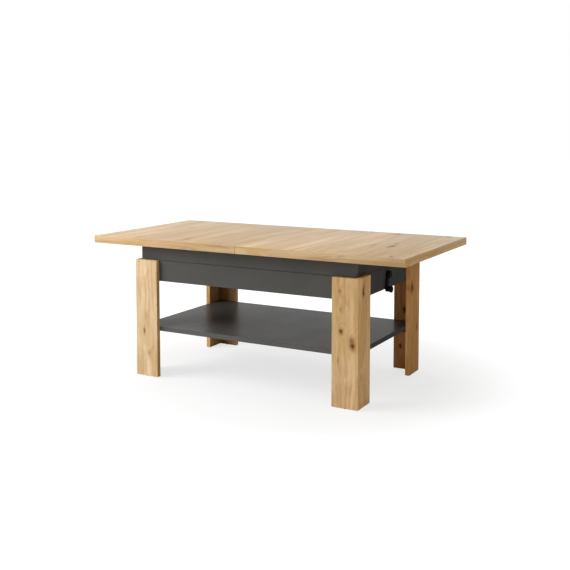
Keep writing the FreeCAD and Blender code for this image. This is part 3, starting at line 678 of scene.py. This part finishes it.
for half in ("lower", "upper"):
    makeBoard(half + "Leaf", "leaf_" + half + "_half", tableTop["ease"], (oakPlain,))
print("table top made")


# legs: two boards each, mitred at the corner

legs = {
    "ease": {"width": 0.0007, "segments": 2},
    "facing": 0.9,
    "placeStep": (0.37, 0.21, 0.83),
    "grain": {"bandWidth": 0.036, "figure": 1.35, "drift": 0.6, "specular": 0.010},
    "corners": {
        "front_left": (-1, -1), "front_right": (1, -1), "back_right": (1, 1), "back_left": (-1, 1),
    },
    # painted light and shade, with a painted sheen: the front boards and the front right side made lighter
    # and paler, the back right side darker
    "tones": {  # factors on red, green and blue
        "front_left_face": (1.10, 1.27, 1.74),
        "front_right_face": (1.10, 1.16, 1.33),
        "front_right_side": (1.41, 1.42, 1.49),
        "back_right_side": (1.04, 0.87, 0.68),
        "back_right_face": (1.00, 1.00, 1.06),
        "back_left_face": (1.00, 1.00, 1.06),
    },
    # painted shade: the insides of the back legs made darker, where the top and the shelf shade them
    "innerTones": {
        "back_right_face": (1.06, 0.80, 0.70),
        "back_left_face": (0.62, 0.52, 0.50),
        "back_left_side": (0.84, 0.74, 0.66),
    },
    # painted shade on the free edge of the front left face, painted light on the free edge of the back
    # right side
    "edgeTones": {"front_left_face": (0.94, 0.89, 0.87), "back_right_side": (1.55, 1.35, 1.15)},
    "knots": {
        "front_right_face": [
            ((0.407, -0.294, 0.269), (0.0095, 0.05, 0.013)),
            ((0.4485, -0.294, 0.2385), (0.0120, 0.05, 0.018)),
            ((0.451, -0.294, 0.222), (0.0120, 0.05, 0.018)),
            ((0.403, -0.294, 0.408), (0.0075, 0.05, 0.010), 0.35),
            ((0.406, -0.294, 0.345), (0.0050, 0.05, 0.009), 0.30),
            ((0.397, -0.294, 0.165), (0.0040, 0.05, 0.018), 0.40),
        ],
        "front_right_side": [
            ((0.472, -0.253, 0.404), (0.20, 0.0135, 0.030), 2.5, 0.12),
            ((0.472, -0.247, 0.426), (0.05, 0.0080, 0.016), 0.4),
            ((0.472, -0.268, 0.112), (0.20, 0.0050, 0.018), 0.5),
        ],
        "front_left_face": [
            ((-0.433, -0.294, 0.177), (0.0062, 0.05, 0.018), 0.8),
            ((-0.412, -0.294, 0.092), (0.0100, 0.05, 0.014), 0.3),
            ((-0.426, -0.294, 0.235), (0.0040, 0.05, 0.020), 0.25),
        ],
        "back_right_side": [
            ((0.472, 0.211, 0.345), (0.20, 0.0185, 0.024)),
            ((0.472, 0.268, 0.180), (0.20, 0.0080, 0.020), 0.7),
        ],
        "back_right_face": [
            ((0.401, 0.276, 0.093), (0.0085, 0.05, 0.012)),
            ((0.417, 0.276, 0.240), (0.0080, 0.05, 0.016)),
        ],
        "front_left_side": [
            ((-0.472, -0.238, 0.292), (0.012, 0.0095, 0.015)),
            ((-0.472, -0.264, 0.122), (0.012, 0.0055, 0.013), 0.6),
        ],
        "back_left_side": [
            ((-0.472, 0.266, 0.214), (0.012, 0.0080, 0.014), 0.9),
            ((-0.472, 0.230, 0.386), (0.012, 0.0050, 0.012), 0.5),
        ],
        "back_left_face": [
            ((-0.436, 0.294, 0.326), (0.0085, 0.012, 0.014)),
            ((-0.404, 0.294, 0.131), (0.0055, 0.012, 0.012), 0.6),
        ],
    },
}


def makeLegBoard(corner, kind, number):
    node, board = corner + "_leg_" + kind, corner + "_" + kind
    low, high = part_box(node)
    piece = newBox(corner.replace("_", "") + kind.capitalize(), low, high)
    sideX, sideY = legs["corners"][corner]
    outer = Vector((high.x if sideX > 0 else low.x, high.y if sideY > 0 else low.y, 0))
    mitre = Vector((sideX, -sideY, 0)) if kind == "face" else Vector((-sideX, sideY, 0))
    cutAway(piece, outer, mitre)
    easeEdges(piece, **legs["ease"])
    knots = legs["knots"].get(board, ())
    place = tuple(step * number for step in legs["placeStep"])

    def addOakWithShading(part, tone):
        finish = makeOak(node + part + "Oak", "Z", place, tone, knots, **legs["grain"])
        piece.data.materials.append(finish)

    # the board's painted light or shade, where it has one
    addOakWithShading("", legs["tones"].get(board))

    # the inside and the free edge may carry painted shade or painted light of their own
    inward = Vector((0, -sideY, 0)) if kind == "face" else Vector((-sideX, 0, 0))
    freeEnd = Vector((-sideX, 0, 0)) if kind == "face" else Vector((0, -sideY, 0))
    for part, direction in (("inner", inward), ("edge", freeEnd)):
        tone = legs[part + "Tones"].get(board)
        if tone:
            addOakWithShading(part.capitalize(), tone)
            for face in piece.data.polygons:
                if face.normal.dot(direction) > legs["facing"]:
                    face.material_index = len(piece.data.materials) - 1
    settle(piece, node, boards["smooth"])


for number, corner in enumerate(legs["corners"]):
    makeLegBoard(corner, "face", 2 * number)
    makeLegBoard(corner, "side", 2 * number + 1)
print("legs made")


# grey boards: apron, rising frame and shelf

greyParts = {
    "ease": {"width": 0.0006, "segments": 2},
    "finishes": {
        "front": greyFinish, "back": greyFinish, "left": greyEndFinish, "right": greyEndFinish,
    },
    "shelfFinishes": (greyShelfFinish, greyEndFinish, greyEdgePaintedLight),
    "bushHole": 0.0081,
}


def drillForBush(board):
    low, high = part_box("crank_bush")
    length = Vector((high.x - low.x, 0, 0))
    middle = middleOf("crank_bush")
    cutOut(board, newRod("bushHole", middle - length, middle + length, greyParts["bushHole"]))


for kind in ("apron", "frame"):
    for side, finish in greyParts["finishes"].items():
        node = kind + "_" + side
        board = makeBoard(camelName(node), node, greyParts["ease"], (finish,))
        if node == "apron_right":
            drillForBush(board)
makeBoard("shelfBoard", "shelf", greyParts["ease"], greyParts["shelfFinishes"])
print("grey boards made")


# turned and softened pieces take their node's finish

def finishNode(piece, node, smooth=modelling["smooth"]):
    piece.data.materials.clear()
    piece.data.materials.append(slotFinishes[slotOf[node]])
    settle(piece, node, smooth)


def onCrankAxis(node):
    bush = middleOf("crank_bush")
    return Vector((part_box(node)[0].x, bush.y, bush.z))


# crank: bush in the apron, hub and lever, turning knob; outlines are (along the axis, radius)

crank = {
    "bush": [
        (0.0, 0.00505), (0.0185, 0.00505), (0.0185, 0.0122), (0.0178, 0.01305), (0.0160, 0.01305),
        (0.0160, 0.00805), (0.0, 0.00805), (0.0, 0.00505),
    ],
    "hub": [
        (0.0, 0.0), (0.0, 0.0122), (0.0008, 0.013), (0.0112, 0.013), (0.0126, 0.0123), (0.0130, 0.0110),
        (0.0130, 0.0082), (0.0124, 0.0078), (0.0124, 0.0072), (0.0134, 0.0066), (0.0140, 0.0044),
        (0.0142, 0.0),
    ],
    "leverWidth": 0.024,
    "leverThickness": 0.0065,
    "leverTaper": 0.88,
    "leverEase": {"width": 0.0011, "segments": 3},
    "pin": [
        (0.0, 0.0), (0.0, 0.0045), (0.0065, 0.0045), (0.0068, 0.0030), (0.0243, 0.0030), (0.0243, 0.0050),
        (0.0248, 0.0055), (0.0258, 0.0050), (0.0267, 0.0034), (0.0268, 0.0),
    ],
    "pinSides": 32,
    "knob": [
        (0.0, 0.00305), (0.0, 0.0082), (0.0007, 0.0090), (0.0040, 0.0098), (0.0080, 0.0109),
        (0.0116, 0.0119), (0.0138, 0.0124), (0.0152, 0.0124), (0.0164, 0.0117), (0.0170, 0.0104),
        (0.0170, 0.0068), (0.0162, 0.0060), (0.0162, 0.00305), (0.0, 0.00305),
    ],
}


def makeLever(reach):
    near, taper, thickness = modelling["near"], crank["leverTaper"], crank["leverThickness"]
    deselectAll()
    bpy.ops.mesh.primitive_circle_add(
        vertices=modelling["sides"], radius=crank["leverWidth"] / 2, fill_type="NGON",
        rotation=(0, math.pi / 2, 0),
    )
    piece = nameNew("lever")
    startEditing(piece, "VERT")
    pick(piece, "verts", lambda vertex: vertex.co.z < -near)
    bpy.ops.transform.resize(value=(1, taper, taper), center_override=(0, 0, 0))
    bpy.ops.transform.translate(value=(0, 0, -reach))
    bpy.ops.mesh.select_all(action="SELECT")
    bpy.ops.mesh.extrude_region_move(TRANSFORM_OT_translate={"value": (thickness, 0, 0)})
    closeShell()
    stopEditing()

    def onFront(edge):
        return all(abs(vertex.co.x - thickness) < near for vertex in edge.verts)

    easeEdges(piece, **crank["leverEase"], wanted=onFront)
    return piece


def makeCrank():
    bush = newTurned("crankBush", crank["bush"], onCrankAxis("crank_bush"))
    finishNode(bush, "crank_bush")

    axis, grip = middleOf("crank_bush"), middleOf("crank_knob")
    drop, swing = axis.z - grip.z, axis.y - grip.y
    reach = math.hypot(drop, swing)
    hub = newTurned("hub", crank["hub"], (0, 0, 0))
    pin = newTurned("pin", crank["pin"], (0, 0, -reach), sides=crank["pinSides"])
    arm = joinPieces(makeLever(reach), hub, pin)
    arm.name = "crankArm"
    putAt(arm, onCrankAxis("crank_arm"), (-math.atan2(swing, drop), 0, 0))
    finishNode(arm, "crank_arm")

    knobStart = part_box("crank_knob")[0].x
    knob = newTurned("crankKnob", crank["knob"], (knobStart, grip.y, grip.z))
    finishNode(knob, "crank_knob")


makeCrank()
print("crank made")


# lifting screw with its thread, rollers, screws

liftScrew = {
    "core": [
        (0.0, 0.0), (0.0, 0.0040), (0.0012, 0.0050), (0.08941, 0.0050), (0.08941, 0.0094), (0.0900, 0.0100),
        (0.0948, 0.0100), (0.0954, 0.0094), (0.0954, 0.0050), (0.1310, 0.0050), (0.1315, 0.0045),
        (0.1315, 0.0),
    ],
    "thread": [(0.0, 0.0048), (0.0008, 0.0060), (0.0013, 0.0060), (0.0021, 0.0048), (0.0, 0.0048)],
    "threadStart": 0.0014,
    "threadEndSides": 8,
    "pitch": 0.003,
    "rounds": 28,
    "steps": 24,
}


def makeLiftScrew():
    ridge = newOutline("thread", liftScrew["thread"])
    stopEditing()
    winding = ridge.modifiers.new("winding", "SCREW")
    winding.axis = "X"
    winding.screw_offset = liftScrew["pitch"]
    winding.iterations = liftScrew["rounds"]
    winding.steps = liftScrew["steps"]
    winding.render_steps = liftScrew["steps"]
    applyModifier(ridge, winding)
    startEditing(ridge, "VERT")
    closeShell()
    bpy.ops.mesh.fill_holes(sides=liftScrew["threadEndSides"])
    bpy.ops.mesh.normals_make_consistent(inside=False)
    stopEditing()
    putAt(ridge, (liftScrew["threadStart"], 0, 0))
    screw = joinPieces(newTurned("liftScrew", liftScrew["core"], (0, 0, 0)), ridge)
    putAt(screw, onCrankAxis("lift_screw"))
    finishNode(screw, "lift_screw")


rollers = {
    "halfWidth": 0.0050,
    "half": [  # from the tread to the bore
        (0.0036, 0.0100), (0.0046, 0.0098), (0.0050, 0.0093), (0.0042, 0.0090), (0.0042, 0.0082),
        (0.0050, 0.0078), (0.0050, 0.00605),
    ],
}


def makeRollers(node):
    half = rollers["half"]
    otherHalf = [(-along, radius) for along, radius in reversed(half)]
    middle = middleOf(node)
    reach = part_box(node)[1].y - rollers["halfWidth"]
    outline = otherHalf + half + otherHalf[:1]
    front = newTurned(camelName(node), outline, (middle.x, -reach, middle.z), "Y")
    back = copyTo(front, [(0, 2 * reach, 0)])
    finishNode(joinPieces(front, *back), node)


screws = {
    "sides": 24,
    "tip": 0.6,
    "head": {  # outline as (height, share of the radius)
        "radius": 0.0042, "height": 0.0022,
        "outline": [(0.0, 0.94), (0.0003, 1.0), (0.0009, 1.0), (0.0016, 0.82), (0.0020, 0.55)],
        "slot": 0.0009, "slotDepth": 0.0012, "slotReach": 0.0048,
    },
    "kinds": {
        "rail_screws": {
            "radius": 0.0025, "length": 0.018, "faces": 1,
            "places": [(x, y, 0.417) for x in (-0.25, 0.25) for y in (-0.197, 0.197)],
        },
        "left_runner_screws": {
            "radius": 0.0020, "length": 0.016, "faces": -1,
            "places": [(x, y, 0.5105) for x in (-0.2, -0.05) for y in (-0.2371, 0.2371)],
        },
        "right_runner_screws": {
            "radius": 0.0020, "length": 0.016, "faces": -1,
            "places": [(x, y, 0.5105) for x in (0.05, 0.2) for y in (-0.2371, 0.2371)],
        },
    },
}


def makeScrews(node, radius, length, faces, places):
    head = screws["head"]
    outline = [
        (-length, 0.0), (-length + radius, screws["tip"] * radius), (-length + 2 * radius, radius),
        (0.0, radius),
    ]
    outline += [(along, share * head["radius"]) for along, share in head["outline"]]
    outline.append((head["height"], 0.0))
    outline = [(faces * along, width) for along, width in outline]
    first = newTurned(camelName(node), outline, (0, 0, 0), "Z", screws["sides"])

    # cross slot in the head
    top = faces * head["height"]
    bottom = faces * (head["height"] - head["slotDepth"])
    reach, wide = head["slotReach"] / 2, head["slot"] / 2
    for halfX, halfY in ((reach, wide), (wide, reach)):
        low = Vector((-halfX, -halfY, min(2 * top, bottom)))
        high = Vector((halfX, halfY, max(2 * top, bottom)))
        cutOut(first, newBox("crossSlot", low, high))
    copies = copyTo(first, places[1:])
    putAt(first, places[0])
    finishNode(joinPieces(first, *copies), node)


makeLiftScrew()
makeRollers("lower_rollers")
makeRollers("upper_rollers")
for node, kind in screws["kinds"].items():
    makeScrews(node, **kind)
print("screw, rollers and fasteners made")


# the other working parts keep their shapes and get softened edges

softening = {"flatAngle": 1, "sharpAngle": 40, "segments": 2, "smooth": 32}
softened = {
    "floor_glides": 0.0004, "shelf_brackets": 0.0005, "bearers": 0.0012, "apron_corner_blocks": 0.0012,
    "frame_corner_blocks": 0.0012, "base_rails": 0.0004, "base_end_plates": 0.0005,
    "base_pivot_pins": 0.0004, "lift_rails": 0.0004, "lift_end_plates": 0.0005, "lift_pivot_pins": 0.0004,
    "runner_channels": 0.0003, "left_runners": 0.0003, "right_runners": 0.0003, "leaf_hinges": 0.0003,
    "leaf_cradles": 0.0004, "inner_arm_front": 0.0006, "inner_arm_back": 0.0006, "outer_arm_front": 0.0006,
    "outer_arm_back": 0.0006, "inner_cross_tubes": 0.0003, "outer_cross_tube": 0.0003,
    "centre_pins": 0.0004, "roller_axles": 0.0004, "draw_shafts": 0.0004, "draw_nut": 0.0010,
    "seam_pegs": 0.0008,
}


def softenNode(node, width):
    piece = bpy.data.objects.new(camelName(node), frame["nodes"][node].data.copy())
    bpy.context.collection.objects.link(piece)
    startEditing(piece, "VERT")
    closeShell()
    bpy.ops.mesh.dissolve_limited(angle_limit=math.radians(softening["flatAngle"]))
    stopEditing()
    ease = piece.modifiers.new("ease", "BEVEL")
    ease.width = width
    ease.segments = softening["segments"]
    ease.limit_method = "ANGLE"
    ease.angle_limit = math.radians(softening["sharpAngle"])
    applyModifier(piece, ease)
    finishNode(piece, node, softening["smooth"])


for node, width in softened.items():
    softenNode(node, width)
print("working parts softened")


# floor, light and camera

studio = {
    "white": (1, 1, 1, 1),
    "floorSize": 40.0,
    "floorColour": (0.84, 0.84, 0.84, 1),
    "floorSeen": (0.27, 0.27, 0.27, 1),  # to the camera and in gloss
    "floorRoughness": 0.9,
    "floorLift": {"near": 0.72, "far": 0.96, "from": 0.55, "to": 1.25},
    "ambient": {"left": 0.56, "right": 0.36},  # light of the world from either end
    "lampAim": (0, 0, 0.3),
    "lamps": {
        "keyLamp": {"place": (-1.9, -1.7, 1.7), "power": 62.0, "size": 1.6},
        "topLamp": {"place": (-0.5, 0.2, 3.2), "power": 30.0, "size": 3.0},
    },
}


def seenRays(tree):
    rays = addNode(tree, "LightPath")
    seen = mathOf(tree, "MAXIMUM", rays.outputs["Is Camera Ray"], rays.outputs["Is Glossy Ray"])
    return mathOf(tree, "MAXIMUM", seen, rays.outputs["Is Transmission Ray"])


def makeFloor():
    deselectAll()
    bpy.ops.mesh.primitive_plane_add(size=studio["floorSize"])
    floor = nameNew("floor")
    material, tree, shader = newMaterial("floorWhite", 0.0)
    shader.inputs["Roughness"].default_value = studio["floorRoughness"]
    seen = seenRays(tree)
    colour = blendColours(tree, seen, studio["floorColour"], studio["floorSeen"])
    tree.links.new(colour, shader.inputs["Base Color"])

    # the floor stays white away from the table, and keeps a soft shadow near it
    lift = studio["floorLift"]
    distance = addNode(tree, "VectorMath", {0: objectPlace(tree)}, operation="LENGTH").outputs["Value"]
    level = remap(tree, distance, lift["from"], lift["to"], lift["near"], lift["far"])
    strength = mathOf(tree, "MULTIPLY", seen, level)
    glow = addNode(tree, "Emission", {"Color": studio["white"], "Strength": strength})
    both = addNode(tree, "AddShader", {0: shader.outputs[0], 1: glow.outputs[0]})
    tree.links.new(both.outputs[0], tree.nodes["Material Output"].inputs["Surface"])
    floor.data.materials.append(material)


def makeWorld():
    world = bpy.data.worlds.new("studio")
    bpy.context.scene.world = world
    world.use_nodes = True
    tree = world.node_tree
    back = tree.nodes["Background"]
    back.inputs["Color"].default_value = studio["white"]
    direction = addNode(tree, "SeparateXYZ", {0: addNode(tree, "TexCoord").outputs["Generated"]})
    ambient = studio["ambient"]
    level = remap(tree, direction.outputs["X"], -1.0, 1.0, ambient["left"], ambient["right"])
    strength = mathOf(tree, "MAXIMUM", level, seenRays(tree))
    tree.links.new(strength, back.inputs["Strength"])


def addLamp(name, place, power, size):
    deselectAll()
    turn = (Vector(studio["lampAim"]) - Vector(place)).to_track_quat("-Z", "Y").to_euler()
    bpy.ops.object.light_add(type="AREA", radius=size, location=place, rotation=turn)
    lamp = bpy.context.object
    lamp.name = name
    lamp.data.energy = power
    lamp.data.size = size
    lamp.visible_glossy = False  # gloss mirrors the white world, not the lamps
    lamp.visible_camera = False


makeFloor()
makeWorld()
for name, lamp in studio["lamps"].items():
    addLamp(name, **lamp)

view = {
    "place": (1.68317, -3.00158, 0.96999),
    "tilt": 4.750,
    "turn": 28.888,
    "lens": 56.113,
    "sensor": 36.0,
    "shift": -0.15,
}
deselectAll()
bpy.ops.object.camera_add(
    location=view["place"],
    rotation=(math.radians(90 - view["tilt"]), 0, math.radians(view["turn"])),
)
camera = bpy.context.object
camera.name = "camera"
camera.data.lens = view["lens"]
camera.data.sensor_width = view["sensor"]
camera.data.shift_y = view["shift"]
bpy.context.scene.camera = camera
bpy.context.scene.view_settings.view_transform = "Standard"
print("studio made")
